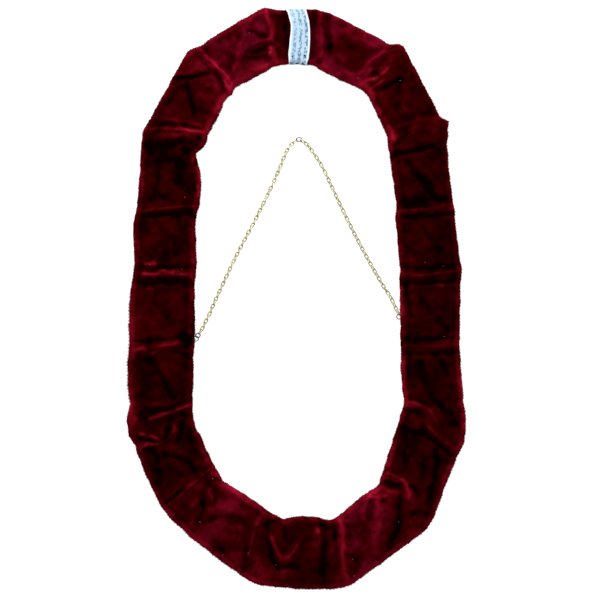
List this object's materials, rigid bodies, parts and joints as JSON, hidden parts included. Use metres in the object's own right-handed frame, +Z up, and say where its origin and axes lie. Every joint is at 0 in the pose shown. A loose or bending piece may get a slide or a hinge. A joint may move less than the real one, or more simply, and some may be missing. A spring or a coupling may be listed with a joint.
{
  "type": "masonic chain collar, lying face down",
  "caption": "Ceremonial chain collar lying face down: a ring of pleated burgundy velvet over linked gilt plates, with a woven label and a thin gold chain across the opening.",
  "frame": {"origin": "on the surface that the collar lies on, under the middle of its outline", "axes": "+Z up, out of the velvet back; +Y from the breast end to the nape; +X to the right seen from above"},
  "size_m": [0.3558, 0.6102, 0.0126],
  "materials": {
    "velvet": "burgundy cotton velvet, dark in the folds and brighter along the rolled edges",
    "woven_label": "woven label, pale blue and white, with no lettering",
    "gilt_plate": "polished gilt brass",
    "gold_chain": "pale gold plated brass",
    "dark_ring": "tarnished brass"
  },
  "bodies": {
    "root": {"velvet_band": "velvet", "label": "woven_label", "plate_01": "gilt_plate", "plate_02": "gilt_plate", "plate_03": "gilt_plate", "plate_04": "gilt_plate", "plate_05": "gilt_plate", "plate_06": "gilt_plate", "plate_07": "gilt_plate", "plate_08": "gilt_plate", "plate_09": "gilt_plate", "plate_10": "gilt_plate", "plate_11": "gilt_plate", "plate_12": "gilt_plate", "plate_13": "gilt_plate", "plate_14": "gilt_plate", "plate_15": "gilt_plate", "plate_16": "gilt_plate", "plate_17": "gilt_plate", "plate_18": "gilt_plate", "link_01": "gilt_plate", "link_02": "gilt_plate", "link_03": "gilt_plate", "link_04": "gilt_plate", "link_05": "gilt_plate", "link_06": "gilt_plate", "link_07": "gilt_plate", "link_08": "gilt_plate", "link_09": "gilt_plate", "link_10": "gilt_plate", "link_11": "gilt_plate", "link_12": "gilt_plate", "link_13": "gilt_plate", "link_14": "gilt_plate", "link_15": "gilt_plate", "link_16": "gilt_plate", "link_17": "gilt_plate", "link_18": "gilt_plate", "chain_left": "gold_chain", "chain_right": "gold_chain", "apex_ring": "gold_chain", "end_ring_left": "dark_ring"}
  },
  "joints": []
}
